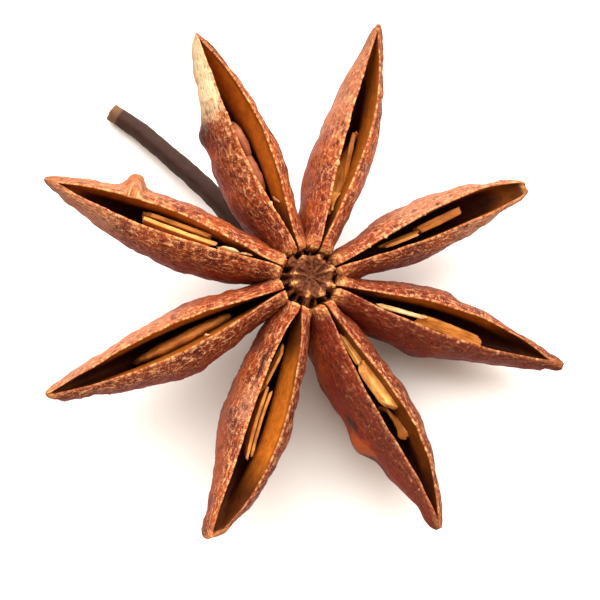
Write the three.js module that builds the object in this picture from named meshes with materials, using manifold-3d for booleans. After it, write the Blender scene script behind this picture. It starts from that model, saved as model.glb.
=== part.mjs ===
// A dried star anise pod: eight boat-shaped seed cases grown together round a short core, each split open
// along its top seam, on a broken-off stalk. Papery splinters and seeds lie in the open cases. Millimetres,
// +Z up. The pod rests as it lies on a table, on its lowest keels and the end of its stalk, so it leans.
import * as THREE from 'three';
import { mergeVertices } from 'three/addons/utils/BufferGeometryUtils.js';
import Module from 'manifold-3d';

// ---- the pod as a whole ----
const leanAngle = 15.9; // degrees between the star's axis and the vertical
const leanTowards = -28; // the side the star's axis leans to, in degrees counter-clockwise from +X
const coreTop = [0.33, 0.14, 8.2]; // where the star's axis meets the plane of the open seams

// ---- the core and the receptacle under it, as radii and heights from the seams' plane ----
const receptacleProfile = [
  [0, -7.6], [0.85, -7.5], [1.4, -7.1], [1.75, -6.4], [1.5, -5.1], [1.5, -0.35], [0, -0.35],
];
const receptacleSides = 24;
// what is cut away over the core: its dished top and the groove between it and the ends of the seams
const coreWellProfile = [
  [0, -0.57], [0.9, -0.53], [1.35, -0.35], [1.5, -0.43], [1.54, -1.1],
  [1.76, -1.1], [1.91, -0.4], [2.06, 1.2], [0, 1.2],
];
const coreWellSides = 32;
const grooveRadius = 1.86; // outer edge of the groove round the core, where the seams begin

// ---- the stalk, in the star's own axes ----
const stalkRoute = [
  [0, 0, -5.6], [-0.45, 0.55, -7.0], [-1.7, 2.5, -7.95], [-3.55, 5.15, -8.6],
  [-5.25, 7.05, -9.5], [-6.95, 8.7, -10.43], [-8.8, 10.45, -11.4], [-10.48, 11.68, -12.24],
];
const stalkRootRadius = 0.85;
const stalkMiddleRadius = 0.68;
const stalkEndRadius = 0.6;
const stalkMiddleAt = 0.4; // share of the length at which it has thinned to the middle radius
const stalkSteps = 18;
const stalkSides = 10;

// ---- what the eight cases share ----
const wall = 0.55; // thickness of a case's side
const wallFullAt = 1.2; // depth at which the side has reached that thickness
const lipWidth = 0.2; // width of the edge beside the open seam
const lipTipShare = 0.7; // what is left of that width at the beak
const lipTipLength = 0.12; // share of the reach over which it thins
const lipRootWidth = 0.5; // how much wider that edge is next to the core
const lipRootLength = 1.1;
const lipRootDrop = 0.3; // how far the rounded ends of the lips sink beside the core
const lipRootDropLength = 0.9;
const lipShare = 0.94; // the lips next to the core never fill more than this share of the case's width
const keelHalf = 0.16;
const keelWall = 0.8; // wood left between the hollow and the keel
const keelWallShare = 0.35; // the hollow always reaches down to this share of the depth
const keelRise = 0.06; // how much shallower a case is at the core, as a share of its depth
const widestAt = 0.42; // share of the depth at which a case is widest
const sideRoundness = 0.9; // below 1 the sides are rounder than a sine
const neighbourShare = 0.4225; // half-width per mm of radius at which a case just meets the next one
const neighbourOverlap = 0.05;
const deepestAt = 0.36; // share of the reach up to which the keel runs level
const keelCurve = [1.75, 0.95]; // powers of the curve from there up to the beak
const beakCurve = 3; // power of the curve by which the seam rises to the beak
const tipDepth = 0.35; // depth of a sharp beak, to which a blunt one adds its width
const tipWidthShare = 0.3; // no side is narrower than this share of the end's half-width
const skewFrom = 0.8; // share of the reach from which a slanting end shifts its sides
const humpHeight = 0.2; // share of the depth over which a hump fades out
const thinnest = 0.06; // half-width of the hollow where it runs out
const thinning = 0.5; // how much thinner still its bottom is there
const smallSwell = 0.05;
const hollowTop = 1.2; // how far the shape that cuts the hollow stands above the seam
const hollowStart = 2.05; // radius at which the hollow begins
const hollowTipShare = 0.02; // share of the reach left solid past the hollow
const openEnd = 0.99; // a split that passes this share of the reach leaves the end open
const pastEnd = 1.03;
const hollowSteps = 8;
// shares of the reach and of the depth at which the sections of a case are drawn
const outerStations = [0.075, 0.12, 0.18, 0.26, 0.35, 0.44, 0.53, 0.62, 0.71, 0.8, 0.88, 0.95, 1];
const outerLevels = [0, 0.08, 0.2, 0.36, 0.55, 0.76, 0.93];
const hollowLevels = [0, 0.1, 0.25, 0.45, 0.7, 0.9];

// Each case: the direction and length of its seam, how far its beak rises, how far its seam bows sideways
// and where, how wide the seam gapes, and its opening as [radius where it begins, power that shifts its
// widest place, power of its taper]. Half-widths are given to the left and right of the seam seen from the
// core, then where the case is widest, its fullness next to the core on either side, how late it swells,
// how fast each side narrows, its depth, the half-width of its end, how far that end is cut on the skew, and
// where the seam's split ends as a share of the reach. Humps stand out of a side: their place along the
// case and on the side, their size and their length.
const cases = [
  { name: 'a', azimuth: 162.9, reach: 17.8, rise: 0.5,
    bow: -0.17, bowAt: 0.6, gape: 1.39, opening: [2.9, 1.1, 0.8],
    sides: [2.22, 1.95], widest: 0.52, root: [0.6, 0.6], swelling: 1.6, narrowing: [1.4, 1.45],
    depth: 6.7, end: 0.2, skew: 0, splitEnd: 0.95,
    humps: [{ side: -1, at: 0.7, level: 0.16, size: 0.55, length: 0.045 }] },
  { name: 'b', azimuth: 117.8, reach: 16.7, rise: 0.6,
    bow: -0.46, bowAt: 0.64, gape: 1.66, opening: [2.4, 1.1, 0.9],
    sides: [2.5, 1.8], widest: 0.46, root: [0.6, 0.6], swelling: 1.6, narrowing: [1.95, 1.4],
    depth: 7.0, end: 0.18, skew: 0, splitEnd: 0.97,
    humps: [{ side: 1, at: 0.6, level: 0.5, size: 0.25, length: 0.06 }] },
  { name: 'c', azimuth: 76.1, reach: 16.6, rise: 0.3,
    bow: -0.54, bowAt: 0.62, gape: 1.39, opening: [1.9, 1.2, 0.9],
    sides: [2.08, 1.92], widest: 0.48, root: [0.35, 0.45], swelling: 2.2, narrowing: [1.6, 1.3],
    depth: 6.9, end: 0.18, skew: 0, splitEnd: 0.92, humps: [] },
  { name: 'd', azimuth: 24.5, reach: 15.15, rise: 0.4,
    bow: 0.22, bowAt: 0.76, gape: 1.61, opening: [1.9, 1.4, 0.7],
    sides: [1.94, 1.9], widest: 0.52, root: [0.35, 0.35], swelling: 3.8, narrowing: [1.4, 1.5],
    depth: 6.4, end: 0.48, skew: 0, splitEnd: 1.0, humps: [] },
  { name: 'e', azimuth: -16.9, reach: 17.0, rise: 0.3,
    bow: 0.32, bowAt: 0.64, gape: 1.74, opening: [1.9, 1.2, 0.8],
    sides: [2.05, 2.32], widest: 0.47, root: [0.25, 0.4], swelling: 2.2, narrowing: [1.25, 1.45],
    depth: 6.78, end: 0.2, skew: 0, splitEnd: 0.94, humps: [] },
  { name: 'f', azimuth: -61.4, reach: 17.5, rise: 0.2,
    bow: 0.86, bowAt: 0.7, gape: 1.57, opening: [1.9, 1.1, 1.1],
    sides: [1.96, 2.5], widest: 0.49, root: [0.65, 0.25], swelling: 1.7, narrowing: [1.3, 1.6],
    depth: 7.0, end: 0.28, skew: 0, splitEnd: 0.98,
    humps: [{ side: -1, at: 0.6, level: 0.4, size: 0.2, length: 0.08 }] },
  { name: 'g', azimuth: -110.2, reach: 17.15, rise: 0.3,
    bow: 0.62, bowAt: 0.64, gape: 2.11, opening: [2.4, 0.9, 0.7],
    sides: [1.84, 2.44], widest: 0.56, root: [0.65, 0.3], swelling: 1.7, narrowing: [1.15, 1.3],
    depth: 6.9, end: 0.6, skew: 0.95, splitEnd: 1.0,
    humps: [{ side: -1, at: 0.6, level: 0.45, size: 0.16, length: 0.07 }] },
  { name: 'h', azimuth: -154.3, reach: 18.4, rise: 0.5,
    bow: 0.14, bowAt: 0.74, gape: 1.72, opening: [1.9, 0.9, 1.3],
    sides: [2.28, 1.82], widest: 0.47, root: [0.35, 0.3], swelling: 2.2, narrowing: [1.6, 1.15],
    depth: 6.9, end: 0.4, skew: 0, splitEnd: 1.06,
    humps: [{ side: 1, at: 0.51, level: 0.45, size: 0.4, length: 0.08 }] },
];

// What lies in the open cases, each piece standing on edge. The ends' middles are given as [distance from
// the star's axis, offset to the left of the case's straight line, drop below the seams' plane]; half is
// half the thickness, tall half the height, and turn how far the top leans to the right at each end, in
// degrees.
const lying = (name, from, to, half, tall, turn) => ({ name, from, to, half, tall, turn });
const contents = {
  a: [
    lying('splinter_a1', [6.3, 0.02, 3.1], [10.8, 0.04, 2.9], 0.12, 1.95, [6, 4]),
    lying('splinter_a2', [6.5, -0.45, 2.9], [10.9, -0.55, 2.6], 0.12, 1.65, [2, -3]),
    lying('splinter_a3', [4.7, 0.5, 1.4], [6.1, 0.62, 1.25], 0.12, 0.5, [30, 12]),
  ],
  b: [
    lying('seed_b1', [6.3, 0.22, 3.2], [8.6, 0.27, 3.2], 0.5, 1.75, [6, 4]),
    lying('seed_b2', [8.75, 0.1, 3.0], [10.8, -0.05, 2.7], 0.45, 1.5, [5, 2]),
  ],
  c: [
    lying('splinter_c1', [5.8, -0.7, 2.0], [10.0, -0.98, 1.9], 0.15, 0.8, [60, 5]),
    lying('splinter_c2', [4.5, -0.55, 1.35], [5.7, -0.72, 1.3], 0.14, 0.45, [5, 60]),
  ],
  d: [
    lying('splinter_d', [5.5, -0.2, 1.7], [7.85, -0.22, 1.55], 0.14, 0.7, [45, 60]),
    lying('seed_d', [8.0, 0.12, 2.5], [11.2, 0.2, 2.1], 0.42, 1.15, [12, 8]),
  ],
  e: [
    lying('splinter_e1', [4.9, -0.3, 1.6], [7.7, -0.2, 1.5], 0.12, 0.62, [60, 48]),
    lying('splinter_e2', [7.9, 0.14, 2.1], [11.6, -0.04, 1.75], 0.16, 0.95, [-52, -60]),
  ],
  f: [
    lying('splinter_f1', [4.3, 0.65, 1.5], [5.95, 0.75, 1.35], 0.14, 0.5, [35, 42]),
    lying('splinter_f2', [6.15, 0.76, 1.7], [9.3, 1.3, 1.4], 0.24, 0.72, [42, 50]),
    lying('splinter_f3', [9.4, 0.82, 2.1], [11.6, 1.2, 1.75], 0.14, 0.75, [15, 70]),
  ],
  g: [
    lying('splinter_g1', [4.5, -0.12, 1.8], [7.3, -0.4, 1.7], 0.13, 0.75, [-55, -48]),
    lying('splinter_g2', [7.5, 0.24, 2.95], [11.6, 0.46, 2.7], 0.12, 1.7, [-6, -5]),
    lying('splinter_g3', [7.6, 0.7, 3.1], [11.4, 0.86, 2.8], 0.12, 1.7, [-6, -5]),
  ],
  h: [
    lying('seed_h', [5.0, 0.16, 3.3], [11.7, 0.38, 3.0], 0.55, 1.8, [4, 0]),
  ],
};
const contentSteps = 5;
const contentSides = 6;
const contentEndShare = 0.35; // thickness and height at the very ends, as a share of the middle's
const contentTaper = 0.5; // power of the taper: the lower, the blunter

// ---- helpers ----
const sameSpot = 1e-4; // points closer than this are one
const radians = THREE.MathUtils.degToRad;
const mix = THREE.MathUtils.lerp;
const ease = (t) => THREE.MathUtils.smoothstep(t, 0, 1);
// sin(pi * x ** power) has its top at the given share
const powerThatPeaksAt = (share) => Math.log(0.5) / Math.log(share);

// Closed solid through equally long rings of points, each end fanned to its middle.
function loft(rings) {
  const count = rings[0].length;
  const points = rings.flat();
  const middles = [rings[0], rings.at(-1)].map((ring) => {
    const middle = new THREE.Vector3();
    ring.forEach((point) => middle.add(point));
    return middle.divideScalar(count);
  });
  const firstMiddle = points.length;
  const lastMiddle = firstMiddle + 1;
  const lastRing = (rings.length - 1) * count;
  const faces = [];
  for (let side = 0; side < count; side += 1) {
    const next = (side + 1) % count;
    for (let row = 0; row < rings.length - 1; row += 1) {
      const low = row * count;
      const high = low + count;
      faces.push(low + side, low + next, high + next, low + side, high + next, high + side);
    }
    faces.push(firstMiddle, next, side, lastMiddle, lastRing + side, lastRing + next);
  }
  const geometry = new THREE.BufferGeometry();
  geometry.setFromPoints([...points, ...middles]);
  geometry.setIndex(faces);
  return geometry;
}

const wasm = await Module();
wasm.setup();

function toSolid(geometry) {
  const bare = geometry.clone();
  bare.deleteAttribute('normal');
  bare.deleteAttribute('uv');
  const merged = mergeVertices(bare, sameSpot);
  return new wasm.Manifold(new wasm.Mesh({
    numProp: 3,
    vertProperties: new Float32Array(merged.attributes.position.array),
    triVerts: new Uint32Array(merged.index.array),
  }));
}

function toGeometry(solid) {
  const mesh = solid.getMesh();
  const geometry = new THREE.BufferGeometry();
  geometry.setAttribute('position', new THREE.BufferAttribute(mesh.vertProperties, 3));
  geometry.setIndex(new THREE.BufferAttribute(mesh.triVerts, 1));
  return geometry;
}

// ---- one case: its sizes at a share s of its reach ----
const seamOffset = (form, s) => form.bow * Math.sin(Math.PI * s ** powerThatPeaksAt(form.bowAt));

const seamHeight = (form, s) => form.rise * s ** beakCurve;

function seamHalfGape(form, s) {
  const [startRadius, shift, taper] = form.opening;
  const start = startRadius / form.reach;
  const t = (s - start) / (form.splitEnd - start);
  return t <= 0 || t >= 1 ? 0 : 0.5 * form.gape * Math.sin(Math.PI * t ** shift) ** taper;
}

function lipAt(form, s) {
  const pastGroove = Math.max(0, s * form.reach - grooveRadius) / lipRootLength;
  const towardsTip = Math.min(1, (1 - s) / lipTipLength);
  return lipWidth * mix(lipTipShare, 1, towardsTip) + lipRootWidth * Math.exp(-(pastGroove ** 2));
}

function depthAt(form, s) {
  const t = (Math.min(s, 1) - deepestAt) / (1 - deepestAt);
  if (t < 0) {
    const towardsCore = t * (1 - deepestAt) / deepestAt;
    return form.depth * (1 - keelRise * towardsCore ** 2);
  }
  const beak = tipDepth + form.end;
  return beak + (form.depth - beak) * (1 - t ** keelCurve[0]) ** keelCurve[1];
}

// Greatest half-width of one side, side +1 being the left one seen from the core.
function sideWidth(form, side, s) {
  const which = side > 0 ? 0 : 1;
  const swell = s < form.widest
    ? mix(form.root[which], 1, Math.sin(0.5 * Math.PI * s / form.widest) ** form.swelling)
    : 1 - ((Math.min(s, 1) - form.widest) / (1 - form.widest)) ** form.narrowing[which];
  const atNeighbour = neighbourShare * s * form.reach + neighbourOverlap;
  return Math.min(mix(form.end, form.sides[which], swell), atNeighbour);
}

function humpAt(form, side, s, level) {
  const sizes = form.humps.filter((hump) => hump.side === side).map((hump) => {
    const along = (s - hump.at) / hump.length;
    const down = (level - hump.level) / humpHeight;
    return hump.size * Math.exp(-(along ** 2) - down ** 2);
  });
  return sizes.reduce((sum, size) => sum + size, 0);
}

// Half-width of one side at a share of the depth, from the seam's edge (0) to the keel (1).
function sideAt(form, side, s, level) {
  const width = Math.max(sideWidth(form, side, s), tipWidthShare * form.end);
  const edge = Math.min(seamHalfGape(form, s) + lipAt(form, s), width * lipShare);
  const swell = Math.max(width - mix(edge, keelHalf, widestAt), smallSwell);
  const bulge = Math.sin(Math.PI * level ** powerThatPeaksAt(widestAt)) ** sideRoundness;
  return mix(edge, keelHalf, level) + swell * bulge + humpAt(form, side, s, level);
}

function onCase(form, s, across, height) {
  const along = s * form.reach - form.skew * ease((s - skewFrom) / (1 - skewFrom)) * across;
  return new THREE.Vector3(along, seamOffset(form, s) + across, seamHeight(form, s) + height);
}

function outerRing(form, s) {
  const depth = depthAt(form, s);
  const pastGroove = Math.max(0, s * form.reach - grooveRadius) / lipRootDropLength;
  const dip = lipRootDrop * Math.exp(-(pastGroove ** 2));
  const point = (side, level) => {
    const height = -depth * level - dip * (1 - level);
    return onCase(form, s, side * sideAt(form, side, s, level), height);
  };
  const left = outerLevels.map((level) => point(1, level));
  const right = outerLevels.map((level) => point(-1, level));
  return [...right, onCase(form, s, 0, -depth), ...left.reverse()];
}

function hollowRing(form, s) {
  const gape = Math.max(seamHalfGape(form, s), thinnest);
  const depth = depthAt(form, s);
  const floor = Math.max(depth - keelWall, keelWallShare * depth);
  const point = (side, level) => {
    const reached = ease(level * floor / wallFullAt);
    const inner = sideAt(form, side, s, level * floor / depth) - mix(lipAt(form, s), wall, reached);
    return onCase(form, s, side * Math.max(inner, thinnest * (1 - thinning * level)), -floor * level);
  };
  const left = hollowLevels.slice(1).map((level) => point(1, level));
  const right = hollowLevels.slice(1).map((level) => point(-1, level));
  return [
    onCase(form, s, -gape, hollowTop), onCase(form, s, -gape, 0), ...right,
    onCase(form, s, 0, -floor),
    ...left.reverse(), onCase(form, s, gape, 0), onCase(form, s, gape, hollowTop),
  ];
}

function hollowStations(form) {
  const start = hollowStart / form.reach;
  const end = Math.min(form.splitEnd, 1) - hollowTipShare;
  const stations = Array.from({ length: hollowSteps + 1 }, (_, i) => mix(start, end, i / hollowSteps));
  return form.splitEnd > openEnd ? [...stations, pastEnd] : stations;
}

function turned(geometry, form) {
  return geometry.applyMatrix4(new THREE.Matrix4().makeRotationZ(radians(form.azimuth)));
}

const caseOuter = (form) => turned(loft(outerStations.map((s) => outerRing(form, s))), form);
const caseHollow = (form) => turned(loft(hollowStations(form).map((s) => hollowRing(form, s))), form);

// ---- core, receptacle and stalk ----
function revolved(profile, sides) {
  const geometry = new THREE.LatheGeometry(profile.map(([r, z]) => new THREE.Vector2(r, z)), sides);
  return geometry.applyMatrix4(new THREE.Matrix4().makeRotationX(Math.PI / 2));
}

function stalk() {
  const curve = new THREE.CatmullRomCurve3(stalkRoute.map((point) => new THREE.Vector3(...point)));
  const frames = curve.computeFrenetFrames(stalkSteps, false);
  const radiusAt = (t) => (t < stalkMiddleAt
    ? mix(stalkRootRadius, stalkMiddleRadius, ease(t / stalkMiddleAt))
    : mix(stalkMiddleRadius, stalkEndRadius, (t - stalkMiddleAt) / (1 - stalkMiddleAt)));
  const rings = frames.normals.map((normal, i) => {
    const centre = curve.getPointAt(i / stalkSteps);
    const radius = radiusAt(i / stalkSteps);
    return Array.from({ length: stalkSides }, (_, k) => {
      const angle = 2 * Math.PI * k / stalkSides;
      return centre.clone()
        .addScaledVector(normal, radius * Math.cos(angle))
        .addScaledVector(frames.binormals[i], radius * Math.sin(angle));
    });
  });
  return loft(rings);
}

// ---- from the star's own axes to the pod at rest on the table ----
const leanDirection = new THREE.Vector3(Math.cos(radians(leanTowards)), Math.sin(radians(leanTowards)), 0);
const leanAxis = new THREE.Vector3(0, 0, 1).cross(leanDirection);
const atRest = new THREE.Matrix4().makeRotationAxis(leanAxis, radians(leanAngle)).setPosition(...coreTop);
const tableSize = 60;
const tableThickness = 10;

function podSolid() {
  let solid = toSolid(revolved(receptacleProfile, receptacleSides)).add(toSolid(stalk()));
  for (const form of cases) solid = solid.add(toSolid(caseOuter(form)));
  for (const form of cases) solid = solid.subtract(toSolid(caseHollow(form)));
  solid = solid.subtract(toSolid(revolved(coreWellProfile, coreWellSides)));
  const resting = toSolid(toGeometry(solid).applyMatrix4(atRest));
  const table = new THREE.BoxGeometry(tableSize, tableSize, tableThickness);
  return resting.subtract(toSolid(table.translate(0, 0, -0.5 * tableThickness)));
}

// ---- seeds and splinters ----
function content(piece, form) {
  const place = ([r, left, drop]) => new THREE.Vector3(r, left, -drop);
  const from = place(piece.from);
  const to = place(piece.to);
  const along = to.clone().sub(from).normalize();
  const sideways = new THREE.Vector3(0, 0, 1).cross(along).normalize();
  const upwards = along.clone().cross(sideways);
  const rings = [];
  for (let i = 0; i <= contentSteps; i += 1) {
    const t = i / contentSteps;
    const fullness = mix(contentEndShare, 1, Math.sin(Math.PI * t) ** contentTaper);
    const turn = radians(mix(piece.turn[0], piece.turn[1], t));
    const centre = from.clone().lerp(to, t);
    rings.push(Array.from({ length: contentSides }, (_, k) => {
      const angle = 2 * Math.PI * (k + 0.5) / contentSides;
      const aside = piece.half * fullness * Math.cos(angle);
      const above = piece.tall * fullness * Math.sin(angle);
      return centre.clone()
        .addScaledVector(sideways, aside * Math.cos(turn) - above * Math.sin(turn))
        .addScaledVector(upwards, aside * Math.sin(turn) + above * Math.cos(turn));
    }));
  }
  return turned(loft(rings), form).applyMatrix4(atRest);
}

// ---- the part ----
const woodFinish = new THREE.MeshStandardMaterial({ color: '#7a3a22', roughness: 0.8, metalness: 0 });
const seedFinish = new THREE.MeshStandardMaterial({ color: '#a9622a', roughness: 0.5, metalness: 0 });
const splinterFinish = new THREE.MeshStandardMaterial({ color: '#c08a4c', roughness: 0.7, metalness: 0 });

function named(name, geometry, finish) {
  const mesh = new THREE.Mesh(geometry, finish);
  mesh.name = name;
  return mesh;
}

const pod = new THREE.Group();
pod.add(named('pod', toGeometry(podSolid()), woodFinish));
for (const form of cases) {
  for (const piece of contents[form.name]) {
    const finish = piece.name.startsWith('seed') ? seedFinish : splinterFinish;
    pod.add(named(piece.name, content(piece, form), finish));
  }
}

export default pod;
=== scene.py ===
import random
from math import cos, exp, log, pi, radians, sin

import bmesh
import bpy
import numpy as np
from mathutils import Matrix, Vector


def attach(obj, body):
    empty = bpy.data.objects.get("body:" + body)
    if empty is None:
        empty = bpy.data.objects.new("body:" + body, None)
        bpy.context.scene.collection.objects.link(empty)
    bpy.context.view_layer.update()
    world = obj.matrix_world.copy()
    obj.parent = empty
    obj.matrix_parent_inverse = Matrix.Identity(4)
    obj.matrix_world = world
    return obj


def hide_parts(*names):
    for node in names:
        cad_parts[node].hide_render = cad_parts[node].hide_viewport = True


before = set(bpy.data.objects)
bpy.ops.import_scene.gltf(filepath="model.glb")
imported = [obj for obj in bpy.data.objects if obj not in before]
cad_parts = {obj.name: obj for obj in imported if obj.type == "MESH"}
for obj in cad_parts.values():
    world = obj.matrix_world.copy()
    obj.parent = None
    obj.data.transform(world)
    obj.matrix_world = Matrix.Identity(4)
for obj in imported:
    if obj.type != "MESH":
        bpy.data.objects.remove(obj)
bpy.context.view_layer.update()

# The pod is modelled in millimetres in the star's own axes, leant over onto its resting place, and scaled to
# metres at the very end. Along a case runs from the star's axis outwards, left and right are seen from the axis.
pod = {
    "coreTop": (0.33, 0.14, 8.2),   # where the star's axis meets the plane of the open seams
    "leanAngle": 15.9,              # degrees the star's axis leans
    "leanTowards": -28,             # degrees counter-clockwise from +X
    "metresPerUnit": 0.001,
    "seed": 11,
}

leanSide = radians(pod["leanTowards"])
leanAxis = Vector((-sin(leanSide), cos(leanSide), 0))
starPlace = Matrix.Translation(pod["coreTop"]) @ Matrix.Rotation(radians(pod["leanAngle"]), 4, leanAxis)


def mix(a, b, t):
    return a + (b - a) * t


def ease(t):
    t = np.clip(t, 0, 1)
    return t * t * (3 - 2 * t)


# 1 at the middle of a mark, falling off smoothly past its length
def bell(distance, length):
    return np.exp(-(distance / length) ** 2)


def powerThatPeaksAt(share):
    return log(0.5) / log(share)


def selectOnly(piece):
    bpy.ops.object.select_all(action="DESELECT")
    piece.select_set(True)
    bpy.context.view_layer.objects.active = piece


def finishWith(piece, kind, **settings):
    selectOnly(piece)
    bpy.ops.object.modifier_add(type=kind)
    modifier = piece.modifiers[-1]
    for name, value in settings.items():
        setattr(modifier, name, value)
    bpy.ops.object.modifier_apply(modifier=modifier.name)


# the newest ring of points, each one moved to where it belongs, is left selected for the next extrusion
def shapeRing(piece, ring):
    work = bmesh.from_edit_mesh(piece.data)
    work.verts.ensure_lookup_table()
    newest = work.verts[-len(ring):]
    for vert, target in zip(newest, ring):
        bpy.ops.mesh.select_all(action="DESELECT")
        vert.select = True
        bpy.ops.transform.translate(value=Vector(target) - vert.co)
    for vert in newest:
        vert.select = True
    work.select_flush(True)
    bmesh.update_edit_mesh(piece.data)


def selectRing(piece, first, count):
    bpy.ops.mesh.select_all(action="DESELECT")
    work = bmesh.from_edit_mesh(piece.data)
    work.verts.ensure_lookup_table()
    for vert in work.verts[first:first + count]:
        vert.select = True
    work.select_flush(True)
    bmesh.update_edit_mesh(piece.data)


# a circle extruded from ring to ring, with both ends filled
def growRings(name, rings):
    count = len(rings[0])
    bpy.ops.object.select_all(action="DESELECT")
    bpy.ops.mesh.primitive_circle_add(vertices=count, radius=1, fill_type="NOTHING")
    piece = bpy.context.object
    piece.name = name
    bpy.ops.object.mode_set(mode="EDIT")
    bpy.context.tool_settings.mesh_select_mode = (True, False, False)
    for number, ring in enumerate(rings):
        if number:
            bpy.ops.mesh.extrude_edges_move()
        shapeRing(piece, ring)
    for first in (0, (len(rings) - 1) * count):
        selectRing(piece, first, count)
        bpy.ops.mesh.fill()
    bpy.ops.mesh.select_all(action="SELECT")
    bpy.ops.mesh.normals_make_consistent(inside=False)
    bpy.ops.object.mode_set(mode="OBJECT")
    return piece


# a number or a vector painted on every point, for the materials to read
def paint(piece, name, values):
    values = np.asarray(values, np.float32)
    kind, key = ("FLOAT_VECTOR", "vector") if values.ndim == 2 else ("FLOAT", "value")
    layer = piece.data.attributes.get(name) or piece.data.attributes.new(name, kind, "POINT")
    layer.data.foreach_set(key, values.ravel())


def readPoints(rows, key):
    values = np.zeros(len(rows) * 3, np.float32)
    rows.foreach_get(key, values)
    return values.reshape(-1, 3)


# a vertex group whose weights go in steps of a twentieth
def weigh(piece, name, weights):
    group = piece.vertex_groups.new(name=name)
    steps = np.round(np.clip(weights, 0, 1) * 20).astype(int)
    for step in range(1, 21):
        members = np.nonzero(steps == step)[0].tolist()
        if members:
            group.add(members, step / 20, "REPLACE")
    return name


def roughTexture(name, kind, **settings):
    texture = bpy.data.textures.new(name, kind)
    for key, value in settings.items():
        setattr(texture, key, value)
    return texture


def place(piece, matrix):
    selectOnly(piece)
    piece.matrix_world = matrix
    bpy.ops.object.transform_apply(location=True, rotation=True, scale=True)


def caseMatrix(azimuth):
    return starPlace @ Matrix.Rotation(radians(azimuth), 4, "Z")


def colour(code):
    parts = [int(code[i:i + 2], 16) / 255 for i in (1, 3, 5)]
    return tuple(p / 12.92 if p <= 0.04045 else ((p + 0.055) / 1.055) ** 2.4 for p in parts) + (1,)


# texture scale for a grain of that size, on coordinates in metres
def perMetre(millimetres):
    return 1000 / millimetres


def addNode(tree, kind, settings={}, links={}):
    node = tree.nodes.new("ShaderNode" + kind)
    for name, value in settings.items():
        if isinstance(name, str) and hasattr(node, name):
            setattr(node, name, value)
        else:
            node.inputs[name].default_value = value
    for name, source in links.items():
        socket = source.outputs[0] if isinstance(source, bpy.types.Node) else source
        tree.links.new(socket, node.inputs[name])
    return node


def newMaterial(name):
    material = bpy.data.materials.new(name)
    material.use_nodes = True
    tree = material.node_tree
    tree.nodes.clear()
    return material, tree


# grain sizes in millimetres
huskLook = {
    # low is the redder tone low on the flanks, partly painted shade
    "red": "#aa4e20", "purple": "#683026", "dark": "#34110a", "low": "#862409", "maroon": "#581a0e", "tan": "#e6a872",
    "speckle": "#dea478",
    # the lining's colour where lit near the top of the wall, and its painted shade deep in the hollow
    "liningLitTone": "#c87022", "liningShadeTone": "#481d0e", "rimDark": "#943f18", "rimPale": "#f0b070",
    # second mark partly painted shadow by knobs, third partly painted highlight, fourth partly painted sheen
    "marks": {"bare": "#f2dcae", "scorchedAndShadow": "#361b18", "emberAndHighlight": "#a44a1c", "rosyAndSheen": "#b27354", "corked": "#94501f"},
    # near-black painted shade for the crevices beside the core, a crack and the hollow at the beak
    "split": "#1c0904",
    "blotch": 1.9, "wrinkle": 0.13, "wrinkleStretch": 0.22, "net": 0.24, "netStretch": 0.4, "mottle": 0.5, "fleck": 0.16, "fleckStretch": 0.45,
    "speck": 0.09, "bead": 0.25, "grain": 0.07, "fibre": 0.12, "fibreStretch": 0.12, "cloud": 0.5, "shake": 0.06,
    "roughSkin": 0.5, "roughInside": 0.42, "wrinkleBump": 0.00014, "grainBump": 0.00004, "shine": 0.16,
}


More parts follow.
